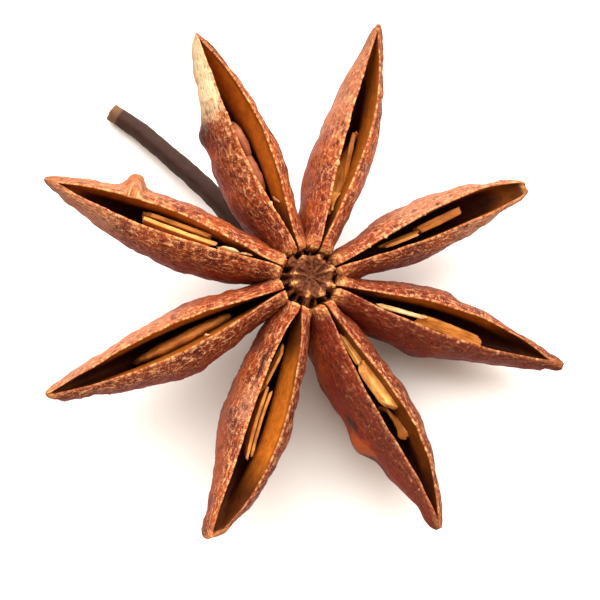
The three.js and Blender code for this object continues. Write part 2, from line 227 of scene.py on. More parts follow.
# Sun-dried woody husk: dull red-brown skin with purple-grey bloom, drawn into fine lengthwise wrinkles and worn to
# tan cork on their crests, and a smooth satin orange-brown lining inside.
def makeHusk():
    look = huskLook
    material, tree = newMaterial("sunDriedHusk")
    at = addNode(tree, "TexCoord").outputs["Object"]
    lay = addNode(tree, "Attribute", {"attribute_name": "lay"}).outputs["Vector"]

    def painted(name):
        return addNode(tree, "Attribute", {"attribute_name": name}).outputs["Fac"]

    def grain(where, scale, detail, roughness=0.5):
        node = addNode(tree, "TexNoise", {"Scale": scale, "Detail": detail, "Roughness": roughness},
                       {"Vector": where})
        return node.outputs["Fac"]

    def ramp(value, low, high, top=1.0):
        return addNode(tree, "MapRange", {"From Min": low, "From Max": high, "To Max": top}, {"Value": value})

    def sums(value, factor, added):
        return addNode(tree, "Math", {"operation": "MULTIPLY_ADD", 1: factor}, {0: value, 2: added})

    def times(one, other):
        return addNode(tree, "Math", {"operation": "MULTIPLY"}, {0: one, 1: other})

    def part(value, share):
        return addNode(tree, "Math", {"operation": "MULTIPLY", 1: share}, {0: value})

    def drawn(stretch):
        return addNode(tree, "Mapping", {"Scale": (stretch, 1, 1)}, {"Vector": lay})

    def blend(share, under, over):
        colours, links = {}, {"Fac": share}
        for socket, source in (("Color1", under), ("Color2", over)):
            if isinstance(source, str):
                colours[socket] = colour(source)
            else:
                links[socket] = source
        return addNode(tree, "MixRGB", colours, links)

    # skin: red to purple in soft blotches; redder and darker low on the flanks and near the core, partly the skin's
    # own tone and partly painted shade
    worn = painted("worn")
    blotch, mottle = grain(at, perMetre(look["blotch"]), 3), grain(at, perMetre(look["mottle"]), 4, 0.65)
    skin = blend(ramp(blotch, 0.47, 0.62, 0.75), look["red"], look["purple"])
    skin = blend(painted("dusky"), skin, look["maroon"])
    skin = blend(painted("flankRedAndShade"), skin, look["low"])

    skin = blend(ramp(mottle, 0.48, 0.3, 0.35), skin, look["dark"])
    fleck = grain(drawn(look["fleckStretch"]), 1 / look["fleck"], 3, 0.65)
    skin = blend(ramp(fleck, 0.51, 0.35, 0.78), skin, look["dark"])

    # marks of this pod, their edges broken up by the mottle; the pinkish ones are partly painted sheen on lit
    # flanks, the near-black ones partly painted shadow beside knobs, the orange ones partly a painted highlight on a
    # ridge
    for name, tint in look["marks"].items():
        share = ramp(sums(painted(name), 1.1, mottle), 0.75, 1.15, 0.6 if name == "rosyAndSheen" else 0.85)
        skin = blend(share, skin, tint)

    # fine lengthwise wrinkles and a drawn-out net: near the seam the valleys are darker, partly the skin's own colour
    # and partly painted shade, and the crests worn tan
    net = addNode(tree, "TexVoronoi", {"feature": "DISTANCE_TO_EDGE", "Scale": 1 / look["net"]},
                  {"Vector": drawn(look["netStretch"])})
    wrinkle = grain(drawn(look["wrinkleStretch"]), 1 / look["wrinkle"], 4, 0.65)
    height = sums(ramp(net.outputs["Distance"], 0.2, 0), 0.16, sums(painted("relief"), 0.06, wrinkle))
    skin = blend(times(ramp(height, 0.54, 0.36, 0.8), ramp(worn, 0, 0.6)), skin, look["dark"])
    skin = blend(times(ramp(height, 0.61, 0.78, 0.82), ramp(worn, 0.1, 0.9)), skin, look["tan"])

    # corky specks and, along the seam, larger beads: each cell of the pattern bare or dotted by its own chance
    shake = addNode(tree, "TexNoise", {"Scale": perMetre(look["speck"])}, {"Vector": at})
    shaken = addNode(tree, "VectorMath", {"operation": "MULTIPLY_ADD", 1: (look["shake"] / 1000,) * 3},
                     {0: shake.outputs["Color"], 2: at})
    for size, where, share in (("speck", worn, 0.26), ("bead", painted("beaded"), 0.08)):
        cells = addNode(tree, "TexVoronoi", {"Scale": perMetre(look[size])}, {"Vector": shaken})
        chance = addNode(tree, "SeparateColor", {}, {0: cells.outputs["Color"]})
        picked = addNode(tree, "Math", {"operation": "SUBTRACT"}, {0: part(where, share), 1: chance.outputs[0]})
        picked = ramp(picked, 0, 0.1, 0.8)
        skin = blend(times(picked, ramp(cells.outputs["Distance"], 0.5, 0.25)), skin, look["speckle"])
    # painted shade, near-black, in the crevices between the cases' ends beside the core and along a crack
    skin = blend(painted("split"), skin, look["split"])

    # lining: long fibres, its lit tone near the top of the wall giving way to painted shade deeper down, towards the
    # beak and beside the core
    fibre = grain(drawn(look["fibreStretch"]), 1 / look["fibre"], 3)
    lining = blend(painted("deep"), look["liningLitTone"], look["liningShadeTone"])
    cloud = sums(grain(at, perMetre(look["cloud"]), 3, 0.6), 0.8, part(fibre, 0.6))
    shade = addNode(tree, "MapRange", {"From Min": 0.45, "From Max": 0.95, "To Min": 0.5, "To Max": 1.15},
                    {"Value": cloud})
    lining = addNode(tree, "MixRGB", {"blend_type": "MULTIPLY", "Fac": 1}, {"Color1": lining, "Color2": shade})
    # painted shade, near-black, in the hollow towards the beak
    lining = blend(painted("shut"), lining, look["split"])
    surface = blend(painted("inside"), skin, lining)

    # torn edge of the seam and the corky ends beside the core
    rim = blend(ramp(grain(drawn(look["netStretch"]), 1 / look["speck"], 3, 0.6), 0.42, 0.66),
                look["rimDark"], look["rimPale"])
    surface = blend(painted("rim"), surface, rim)

    rough = addNode(tree, "MapRange", {"To Min": look["roughSkin"], "To Max": look["roughInside"]},
                    {"Value": painted("inside")})
    folds = addNode(tree, "Bump", {"Strength": 1, "Distance": look["wrinkleBump"]},
                    {"Height": times(height, ramp(painted("inside"), 1, 0))})
    fine = blend(painted("inside"), grain(at, perMetre(look["grain"]), 3, 0.6), fibre)
    bump = addNode(tree, "Bump", {"Strength": 0.8, "Distance": look["grainBump"]},
                   {"Height": fine, "Normal": folds})
    shader = addNode(tree, "BsdfPrincipled", {"IOR": 1.45, "Specular IOR Level": look["shine"]},
                     {"Base Color": surface, "Roughness": rough, "Normal": bump})
    addNode(tree, "OutputMaterial", {}, {"Surface": shader})
    return material


# the near-black tone is painted shade in the groove's pits and on the column underneath
coreLook = {"bark": "#6e3a20", "hollow": "#2c120a", "tan": "#e0a262", "mottle": 0.24, "grain": 0.1, "roughness": 0.6}


# Corky heart of the pod: dark red-brown tissue with paler torn ridges and teeth, and near-black painted shade in
# the groove's pits and on the column underneath.
def makeCork():
    look = coreLook
    material, tree = newMaterial("tornCork")
    at = addNode(tree, "TexCoord").outputs["Object"]
    ridge = addNode(tree, "Attribute", {"attribute_name": "ridge"}).outputs["Fac"]
    mottle = addNode(tree, "TexNoise", {"Scale": perMetre(look["mottle"]), "Detail": 5, "Roughness": 0.7},
                     {"Vector": at})
    # near-black painted shade where the ridge map is low, in the pits and on the column, broken up by the mottle
    lit = addNode(tree, "Math", {"operation": "MULTIPLY_ADD", 1: 0.3}, {0: ridge, 2: mottle.outputs["Fac"]})
    share = addNode(tree, "MapRange", {"From Min": 0.33, "From Max": 0.6}, {"Value": lit})
    base = addNode(tree, "MixRGB", {"Color1": colour(look["hollow"]), "Color2": colour(look["bark"])}, {"Fac": share})
    lift = addNode(tree, "Math", {"operation": "MULTIPLY_ADD", 1: 1.6}, {0: mottle.outputs["Fac"], 2: ridge})
    pale = addNode(tree, "MapRange", {"From Min": 1.15, "From Max": 1.6}, {"Value": lift})
    base = addNode(tree, "MixRGB", {"Color2": colour(look["tan"])}, {"Fac": pale, "Color1": base})
    fine = addNode(tree, "TexNoise", {"Scale": perMetre(look["grain"]), "Detail": 3}, {"Vector": at})
    bump = addNode(tree, "Bump", {"Strength": 0.6, "Distance": 0.00005}, {"Height": fine.outputs["Fac"]})
    shader = addNode(tree, "BsdfPrincipled", {"IOR": 1.45, "Specular IOR Level": huskLook["shine"],
                                              "Roughness": look["roughness"]},
                     {"Base Color": base, "Normal": bump})
    addNode(tree, "OutputMaterial", {}, {"Surface": shader})
    return material


stalkLook = {"bark": "#3a2118", "dark": "#27150f", "cut": "#64452e", "streak": 0.3, "streakStretch": 0.3,
             "roughness": 0.6}


# Dried stalk bark: dull grey-brown with fine lengthwise wrinkles and a paler broken end.
def makeBark():
    look = stalkLook
    material, tree = newMaterial("driedStalkBark")
    lay = addNode(tree, "Attribute", {"attribute_name": "lay"}).outputs["Vector"]
    cut = addNode(tree, "Attribute", {"attribute_name": "cut"}).outputs["Fac"]
    stretched = addNode(tree, "Mapping", {"Scale": (look["streakStretch"], 1, 1)}, {"Vector": lay})
    streak = addNode(tree, "TexNoise", {"Scale": 1 / look["streak"], "Detail": 4}, {"Vector": stretched})
    base = addNode(tree, "MixRGB", {"Color1": colour(look["dark"]), "Color2": colour(look["bark"])},
                   {"Fac": streak.outputs["Fac"]})
    base = addNode(tree, "MixRGB", {"Color2": colour(look["cut"])}, {"Fac": cut, "Color1": base})
    bump = addNode(tree, "Bump", {"Strength": 0.5, "Distance": 0.00006}, {"Height": streak.outputs["Fac"]})
    shader = addNode(tree, "BsdfPrincipled", {"IOR": 1.45, "Specular IOR Level": huskLook["shine"],
                                              "Roughness": look["roughness"]},
                     {"Base Color": base, "Normal": bump})
    addNode(tree, "OutputMaterial", {}, {"Surface": shader})
    return material


# fibre and cloud sizes in millimetres
shredLooks = {
    "paperyLining": {"light": "#ffe0a8", "dark": "#d49c5c", "fibre": 0.09, "cloud": 0.7, "roughness": 0.45},
    "splitSapwood": {"light": "#ffbe6c", "dark": "#d4823c", "fibre": 0.1, "cloud": 0.7, "roughness": 0.42},
    "splitWood": {"light": "#dc9448", "dark": "#94541e", "fibre": 0.1, "cloud": 0.9, "roughness": 0.42},
    "polishedSeedCoat": {"light": "#c87c38", "dark": "#8a481c", "fibre": 0.14, "cloud": 1.2, "roughness": 0.3},
    "crumbledCork": {"light": "#dca270", "dark": "#a0623a", "fibre": 0.12, "cloud": 0.3, "roughness": 0.6},
    "dullSeedCoat": {"light": "#c8805a", "dark": "#96543a", "fibre": 0.2, "cloud": 1.2, "roughness": 0.45},
}


# Papery torn lining, pale gold with a soft satin face; split wood, more orange and closer grained; and the
# polished coat of a seed, darker and glossier. All three show fibres along the piece.
def makeShred(name):
    look = shredLooks[name]
    material, tree = newMaterial(name)
    at = addNode(tree, "TexCoord").outputs["Object"]
    lay = addNode(tree, "Attribute", {"attribute_name": "lay"}).outputs["Vector"]
    stretched = addNode(tree, "Mapping", {"Scale": (huskLook["fibreStretch"], 1, 1)}, {"Vector": lay})
    fibre = addNode(tree, "TexNoise", {"Scale": 1 / look["fibre"], "Detail": 3}, {"Vector": stretched})
    cloud = addNode(tree, "TexNoise", {"Scale": perMetre(look["cloud"]), "Detail": 2}, {"Vector": at})
    both = addNode(tree, "Math", {"operation": "MULTIPLY"}, {0: fibre.outputs["Fac"], 1: cloud.outputs["Fac"]})
    share = addNode(tree, "MapRange", {"From Min": 0.1, "From Max": 0.34}, {"Value": both})
    base = addNode(tree, "MixRGB", {"Color1": colour(look["dark"]), "Color2": colour(look["light"])}, {"Fac": share})
    bump = addNode(tree, "Bump", {"Strength": 0.4, "Distance": 0.00002}, {"Height": fibre.outputs["Fac"]})
    shader = addNode(tree, "BsdfPrincipled", {"IOR": 1.45, "Specular IOR Level": huskLook["shine"],
                                              "Roughness": look["roughness"]},
                     {"Base Color": base, "Normal": bump})
    addNode(tree, "OutputMaterial", {}, {"Surface": shader})
    return material


husk = makeHusk()
cork = makeCork()
bark = makeBark()
shreds = {name: makeShred(name) for name in shredLooks}
print("materials made")


huskForm = {
    "wall": 0.55,               # thickness of a side
    "wallFullAt": 1.2,          # depth at which it has that thickness
    "lipWidth": 0.2,            # width of the torn edge beside the open seam
    "lipTipShare": 0.7,
    "lipTipLength": 0.12,
    "lipRootWidth": 0.5,        # how much wider it is next to the core
    "lipRootLength": 1.1,
    "lipShare": 0.94,
    "thinnestLip": 0.1,
    "crown": 0.1,               # how much the lips round off towards the flanks
    "crownLevel": 0.08,
    "keelHalf": 0.16,
    "keelWall": 0.8,            # wood between the hollow and the keel
    "keelWallShare": 0.35,
    "keelRise": 0.06,
    "keelCurve": (1.75, 0.95),
    "deepestAt": 0.36,
    "widestAt": 0.42,           # share of the depth
    "sideRoundness": 0.9,
    "neighbourShare": 0.4225,   # half-width per mm of radius at which a case just meets the next
    "neighbourOverlap": 0.05,
    "grooveRadius": 1.74,
    "tipDepth": 0.35,
    "tipWidthShare": 0.3,
    "smallSwell": 0.05,
    "beakCurve": 3,
    "beakRounding": 0.4,        # how much the very end closes in
    "beakRoundFrom": 0.99,
    "skewFrom": 0.8,
    "humpHeight": 0.2,
    "slit": (0.045, 0.02),      # half the gap where the seam is shut, beside the core and at the beak
    "bandDepth": 2.5,           # how far down the smooth lining slopes in before the hollow widens
    "bandLength": 1.6,          # over which it steepens again
    "rootFloor": 1.2,           # depth of the hollow where it begins beside the core
    "rootFloorLength": 1.6,
    "shutFloor": 0.12,          # depth left where the seam is shut at the beak, as a share
    "endDrop": 1.7,             # how far the rounded ends of the lips drop beside the core
    "endDropAt": 1.6,
    "endDropLength": 0.17,
    "rootCrown": 0.22,          # how much more the lips round off there
    "rootCrownLength": 1.3,
    "ragged": 0.05,             # unevenness of the torn edge
    "raggedFrom": 0.2,
    "rootStations": [1.4, 1.58, 1.67, 1.77, 1.92, 2.25, 2.9, 3.6, 4.5],   # millimetres from the axis
    "firstStation": 0.33,       # then evenly spaced shares of the reach
    "stationCount": 14,
    "humpStations": [-1.3, -0.75, -0.25, 0.25, 0.75, 1.3],         # lengths from the middle of a hump
    "stationGap": 0.012,
    "lastStations": [0.94, 0.98, 1.0],
    "outerLevels": [0, 0.03, 0.08, 0.18, 0.34, 0.54, 0.76, 0.93],  # shares of the depth
    "innerLevels": [0, 0.04, 0.1, 0.18, 0.27, 0.38, 0.6, 0.85],
    "smoothing": 3,
}

# For each case the direction and length of its seam, how far its beak rises and its seam bows, how wide the seam
# gapes and its opening as (radius where it begins, power that shifts its widest place, power of its taper). Pairs
# are for the left and the right side. Humps stand out of a side. Marks are places on a side with a colour of their
# own, pinkish ones partly painted sheen on lit flanks, near-black ones partly painted shadow beside knobs and orange
# ones partly a painted highlight on a ridge; at and length are shares of the reach, level and height shares of the
# depth. The redness of the low flanks is partly painted shade; the four values after the dusky pair set the lining's
# painted shade.
cases = [
    {"name": "a", "azimuth": 162.9, "reach": 17.8, "rise": 0.5, "bow": -0.17, "bowAt": 0.6,
     "gape": 1.39, "opening": (2.9, 1.1, 0.8), "splitEnd": 0.95, "sides": (2.22, 1.95), "widest": 0.52,
     "root": (0.6, 0.6), "swelling": 1.6, "narrowing": (1.4, 1.45), "depth": 6.7, "ends": (0.2, 0.2), "skew": 0,
     "wrinkled": (1.2, 0.8), "band": (0, 0.1), "lowFlankRedAndShade": (0.85, 0.15), "dusky": (0.4, 0.05),
     "beakHollowShade": 0, "leastLiningShade": 0.2, "litDepth": 1.0, "beakShadeFrom": 0.8,
     "humps": [{"side": -1, "at": 0.69, "level": 0.17, "size": 0.95, "length": 0.033, "steep": 4}],
     "marks": [{"kind": "corked", "side": -1, "at": 0.7, "level": 0.15, "length": 0.035, "height": 0.12},
               {"kind": "scorchedAndShadow", "side": -1, "at": 0.655, "level": 0.2, "length": 0.02, "height": 0.09},
               {"kind": "rosyAndSheen", "side": 1, "at": 0.9, "level": 0.1, "length": 0.2, "height": 0.6},
               {"kind": "rosyAndSheen", "side": -1, "at": 0.85, "level": 0.1, "length": 0.28, "height": 0.5}]},
    {"name": "b", "azimuth": 117.8, "reach": 16.7, "rise": 0.6, "bow": -0.46, "bowAt": 0.64,
     "gape": 1.66, "opening": (2.4, 1.1, 0.9), "splitEnd": 0.97, "sides": (2.5, 1.8), "widest": 0.46,
     "root": (0.6, 0.6), "swelling": 1.6, "narrowing": (1.95, 1.4), "depth": 7.0, "ends": (0.18, 0.22), "skew": 0,
     "wrinkled": (0.9, 0.7), "band": (0, 0.6), "lowFlankRedAndShade": (0.6, 0.4), "dusky": (0.3, 0.15),
     "beakHollowShade": 0, "leastLiningShade": 0, "litDepth": 2.3, "beakShadeFrom": 1.0,
     "humps": [{"side": 1, "at": 0.64, "level": 0.36, "size": 0.45, "length": 0.045, "steep": 1.5}],
     "marks": [{"kind": "bare", "side": 1, "at": 0.9, "level": 0.2, "length": 0.19, "height": 0.9},
               {"kind": "rosyAndSheen", "side": 1, "at": 0.84, "level": 0.4, "length": 0.14, "height": 0.2},
               {"kind": "scorchedAndShadow", "side": 1, "at": 0.66, "level": 0.38, "length": 0.045, "height": 0.22},
               {"kind": "scorchedAndShadow", "side": 1, "at": 0.5, "level": 0.75, "length": 0.2, "height": 0.25}]},
    {"name": "c", "azimuth": 76.1, "reach": 16.6, "rise": 0.3, "bow": -0.54, "bowAt": 0.62,
     "gape": 1.39, "opening": (1.9, 1.2, 0.9), "splitEnd": 0.97, "sides": (2.08, 1.92), "widest": 0.48,
     "root": (0.35, 0.45), "swelling": 2.2, "narrowing": (1.6, 1.3), "depth": 6.9, "ends": (0.18, 0.18), "skew": 0,
     "wrinkled": (0.7, 0.8), "band": (0, 0.4), "lowFlankRedAndShade": (0.4, 0.25), "dusky": (0.1, 0.1),
     "beakHollowShade": 0.15, "leastLiningShade": 0.3, "litDepth": 1.3, "beakShadeFrom": 0.85,
     "humps": [],
     "marks": [{"kind": "emberAndHighlight", "side": 1, "at": 0.26, "level": 0.5, "length": 0.13, "height": 0.35},
               {"kind": "rosyAndSheen", "side": 1, "at": 0.85, "level": 0.25, "length": 0.33, "height": 0.5},
               {"kind": "scorchedAndShadow", "side": 1, "at": 1.04, "level": 0.2, "length": 0.07, "height": 0.4}]},
    {"name": "d", "azimuth": 24.5, "reach": 15.15, "rise": 0.4, "bow": 0.22, "bowAt": 0.76,
     "gape": 1.61, "opening": (1.9, 1.4, 0.7), "splitEnd": 1.08, "sides": (1.94, 1.9), "widest": 0.52,
     "root": (0.35, 0.35), "swelling": 3.8, "narrowing": (1.4, 1.5), "depth": 6.4, "ends": (0.55, 0.5), "skew": 0,
     "wrinkled": (0.9, 0.9), "band": (0.1, 0.1), "lowFlankRedAndShade": (0.15, 0.75), "dusky": (0.35, 0.5),
     "beakHollowShade": 0.2, "leastLiningShade": 0.4, "litDepth": 0.6, "beakShadeFrom": 0.8,
     "humps": [],
     "marks": [{"kind": "rosyAndSheen", "side": 1, "at": 0.76, "level": 0.1, "length": 0.36, "height": 0.35},
               {"kind": "rosyAndSheen", "side": -1, "at": 0.9, "level": 0.1, "length": 0.25, "height": 0.3}]},
    {"name": "e", "azimuth": -16.9, "reach": 17.0, "rise": 0.3, "bow": 0.32, "bowAt": 0.64,
     "gape": 1.74, "opening": (1.9, 1.2, 0.8), "splitEnd": 0.94, "sides": (2.05, 2.32), "widest": 0.47,
     "root": (0.25, 0.4), "swelling": 2.2, "narrowing": (1.25, 1.45), "depth": 6.78, "ends": (0.3, 0.3), "skew": 0,
     "wrinkled": (0.7, 0.3), "band": (0.15, 0.1), "lowFlankRedAndShade": (0.5, 1.0), "dusky": (0.6, 0.85),
     "beakHollowShade": 0.3, "leastLiningShade": 0.3, "litDepth": 0.7, "beakShadeFrom": 0.6,
     "humps": [],
     "marks": [{"kind": "scorchedAndShadow", "side": -1, "at": 0.6, "level": 0.5, "length": 0.25, "height": 0.2}]},
    {"name": "f", "azimuth": -61.4, "reach": 17.5, "rise": 0.2, "bow": 0.86, "bowAt": 0.7,
     "gape": 1.57, "opening": (1.9, 1.1, 1.1), "splitEnd": 0.98, "sides": (1.96, 2.5), "widest": 0.49,
     "root": (0.65, 0.25), "swelling": 1.7, "narrowing": (1.3, 1.6), "depth": 7.0, "ends": (0.36, 0.36), "skew": 0,
     "wrinkled": (0.7, 0.25), "band": (0.45, 0), "lowFlankRedAndShade": (0.7, 1.0), "dusky": (0.75, 0.85),
     "beakHollowShade": 0.2, "leastLiningShade": 0.72, "litDepth": 0.5, "beakShadeFrom": 0.62,
     "humps": [{"side": -1, "at": 0.61, "level": 0.33, "size": 0.58, "length": 0.055, "steep": 1.3}],
     "marks": [{"kind": "emberAndHighlight", "side": -1, "at": 0.615, "level": 0.27, "length": 0.065, "height": 0.09},
               {"kind": "scorchedAndShadow", "side": -1, "at": 0.535, "level": 0.22, "length": 0.045, "height": 0.06},
               {"kind": "scorchedAndShadow", "side": -1, "at": 0.62, "level": 0.28, "length": 0.02, "height": 0.035},
               {"kind": "scorchedAndShadow", "side": -1, "at": 0.7, "level": 0.42, "length": 0.06, "height": 0.1},
               {"kind": "emberAndHighlight", "side": -1, "at": 0.26, "level": 0.4, "length": 0.12, "height": 0.22}]},
    {"name": "g", "azimuth": -110.0, "reach": 17.3, "rise": 0.3, "bow": 0.62, "bowAt": 0.64,
     "gape": 2.11, "opening": (2.4, 0.9, 0.7), "splitEnd": 1.04, "sides": (1.84, 2.44), "widest": 0.56,
     "root": (0.65, 0.3), "swelling": 1.7, "narrowing": (1.15, 1.3), "depth": 6.9, "ends": (0.85, 0.6), "skew": 0.95,
     "wrinkled": (0.7, 1.0), "band": (0.85, 0), "lowFlankRedAndShade": (0.95, 0.2), "dusky": (0.75, 0.2),
     "beakHollowShade": 0.1, "leastLiningShade": 0.1, "litDepth": 1.2, "beakShadeFrom": 0.6,
     "humps": [{"side": -1, "at": 0.57, "level": 0.62, "size": 0.5, "length": 0.09, "steep": 1}],
     "marks": [{"kind": "rosyAndSheen", "side": -1, "at": 0.5, "level": 0.02, "length": 0.07, "height": 0.08},
               {"kind": "split", "side": -1, "at": 0.36, "level": 0.035, "length": 0.08, "height": 0.014}]},
    {"name": "h", "azimuth": -154.3, "reach": 18.4, "rise": 0.5, "bow": 0.14, "bowAt": 0.74,
     "gape": 1.72, "opening": (1.9, 0.9, 1.3), "splitEnd": 1.06, "sides": (2.28, 1.82), "widest": 0.47,
     "root": (0.35, 0.3), "swelling": 2.2, "narrowing": (1.6, 1.15), "depth": 6.9, "ends": (0.4, 0.4), "skew": 0,
     "wrinkled": (1.2, 0.8), "band": (0.4, 0.4), "lowFlankRedAndShade": (0.9, 0.2), "dusky": (0.65, 0.05),
     "beakHollowShade": 0.3, "leastLiningShade": 0.3, "litDepth": 0.7, "beakShadeFrom": 0.62,
     "humps": [{"side": 1, "at": 0.51, "level": 0.55, "size": 0.6, "length": 0.09, "steep": 1}],
     "marks": [{"kind": "rosyAndSheen", "side": -1, "at": 0.74, "level": 0.12, "length": 0.32, "height": 0.35}]},
]


def seamOffset(case, s):
    return case["bow"] * sin(pi * s ** powerThatPeaksAt(case["bowAt"]))


def seamHeight(case, s):
    return case["rise"] * s ** huskForm["beakCurve"]


def halfGape(case, s):
    startRadius, shift, taper = case["opening"]
    start = startRadius / case["reach"]
    t = (s - start) / (case["splitEnd"] - start)
    parted = 0 if t <= 0 or t >= 1 else 0.5 * case["gape"] * sin(pi * t ** shift) ** taper
    return max(parted, mix(*huskForm["slit"], s))


def lipAt(case, s):
    pastGroove = max(0, s * case["reach"] - huskForm["grooveRadius"]) / huskForm["lipRootLength"]
    towardsTip = min(1, (1 - s) / huskForm["lipTipLength"])
    plain = huskForm["lipWidth"] * mix(huskForm["lipTipShare"], 1, towardsTip)
    return plain + huskForm["lipRootWidth"] * exp(-pastGroove ** 2)


def depthAt(case, s):
    deepest = huskForm["deepestAt"]
    t = (s - deepest) / (1 - deepest)
    if t < 0:
        return case["depth"] * (1 - huskForm["keelRise"] * (t * (1 - deepest) / deepest) ** 2)
    beak = huskForm["tipDepth"] + max(case["ends"])
    first, second = huskForm["keelCurve"]
    return beak + (case["depth"] - beak) * (1 - t ** first) ** second


def sideWidth(case, side, s):
    which = 0 if side > 0 else 1
    if s < case["widest"]:
        swell = mix(case["root"][which], 1, sin(0.5 * pi * s / case["widest"]) ** case["swelling"])
    else:
        swell = 1 - ((s - case["widest"]) / (1 - case["widest"])) ** case["narrowing"][which]
    atNeighbour = huskForm["neighbourShare"] * s * case["reach"] + huskForm["neighbourOverlap"]
    return min(mix(case["ends"][which], case["sides"][which], swell), atNeighbour)


# half-width of one side from the seam's edge (level 0) to the keel (level 1)
def sideAt(case, side, s, level):
    width = max(sideWidth(case, side, s), huskForm["tipWidthShare"] * min(case["ends"]))
    edge = min(halfGape(case, s) + lipAt(case, s), width * huskForm["lipShare"])
    keel, widestAt = huskForm["keelHalf"], huskForm["widestAt"]
    swell = max(width - mix(edge, keel, widestAt), huskForm["smallSwell"])
    bulge = sin(pi * level ** powerThatPeaksAt(widestAt)) ** huskForm["sideRoundness"] if level < 1 else 0
    half = mix(edge, keel, level) + swell * bulge
    nearCore = exp(-(max(0, s * case["reach"] - huskForm["grooveRadius"]) / huskForm["rootCrownLength"]) ** 2)
    crown = huskForm["crown"] + huskForm["rootCrown"] * nearCore
    half -= min(crown, 0.3 * width) * max(0, 1 - level / huskForm["crownLevel"])
    for hump in case["humps"]:
        if hump["side"] == side:
            far = ((s - hump["at"]) / hump["length"]) ** 2 + ((level - hump["level"]) / huskForm["humpHeight"]) ** 2
            half += hump["size"] * exp(-far ** hump["steep"])
    return half


def onCase(case, s, across, height):
    slant = case["skew"] * float(ease((s - huskForm["skewFrom"]) / (1 - huskForm["skewFrom"]))) * across
    return Vector((s * case["reach"] - slant, seamOffset(case, s) + across, seamHeight(case, s) + height))


# the hollow is shallow beside the core and, where the seam is shut, at the beak
def floorAt(case, s):
    depth = depthAt(case, s)
    full = max(depth - huskForm["keelWall"], huskForm["keelWallShare"] * depth)
    past = (s * case["reach"] - case["opening"][0]) / huskForm["rootFloorLength"]
    atRoot = mix(huskForm["rootFloor"], full, float(ease(past + 1)))
    shutting = float(ease((s - min(case["splitEnd"], 1) + 0.05) / 0.05))
    return mix(min(atRoot, full), huskForm["shutFloor"] * depth, shutting)


# One closed section: the outer side from the left lip round the keel to the right lip, then the hollow back. Each
# point also notes its share along, its side and height on it, and its distance from the torn edge, inside negative.
def caseSection(case, s, ragged):
    depth, floor = depthAt(case, s), floorAt(case, s)
    pastEnd = max(0, s * case["reach"] - huskForm["endDropAt"]) / huskForm["endDropLength"]
    drop = huskForm["endDrop"] * exp(-pastEnd ** 2)
    ring, notes = [], []

    closing = 1 - huskForm["beakRounding"] * (s > huskForm["beakRoundFrom"])

    def add(side, across, height, level, fromEdge):
        ring.append(onCase(case, s, side * across * closing, height * closing - drop * (1 - level)))
        notes.append((s, side * (1 - level), fromEdge))

    def outer(side, level):
        aside, up = ragged[side]
        fading = max(0, 1 - 6 * level)
        across = sideAt(case, side, s, level) + aside * fading
        add(side, across, -depth * level + up * fading, level, lipAt(case, s) + depth * level)

    def inner(side, level):
        aside, up = ragged[side]
        outerLevel = level * floor / depth
        wallHere = mix(lipAt(case, s), huskForm["wall"], float(ease(level * floor / huskForm["wallFullAt"])))
        across = max(sideAt(case, side, s, outerLevel) - wallHere, 0.02)
        gape = min(halfGape(case, s), sideAt(case, side, s, 0) - huskForm["thinnestLip"])
        down = level * floor / huskForm["bandDepth"]
        sloped = gape * (1 - case["band"][0 if side > 0 else 1] * float(ease(down)))
        across = mix(sloped, across, float(ease((down - 1) * huskForm["bandDepth"] / huskForm["bandLength"])))
        fading = max(0, 1 - 6 * level)
        add(side, across + aside * fading, -floor * level + up * fading, outerLevel, -floor * level)

    outerLevels, innerLevels = huskForm["outerLevels"], huskForm["innerLevels"]
    for level in outerLevels:
        outer(1, level)
    add(1, 0, -depth, 1, depth)
    for level in reversed(outerLevels):
        outer(-1, level)
    for level in innerLevels:
        inner(-1, level)
    add(1, 0, -floor, floor / depth, -floor)
    for level in reversed(innerLevels):
        inner(1, level)
    return ring, notes


lumps = roughTexture("huskLumps", "CLOUDS", noise_scale=1.9, noise_depth=1)
wrinkles = roughTexture("huskWrinkles", "MUSGRAVE", musgrave_type="RIDGED_MULTIFRACTAL", noise_scale=0.6,
                        octaves=3, noise_intensity=0.6)
granules = roughTexture("huskGranules", "CLOUDS", noise_scale=0.18, noise_depth=1)


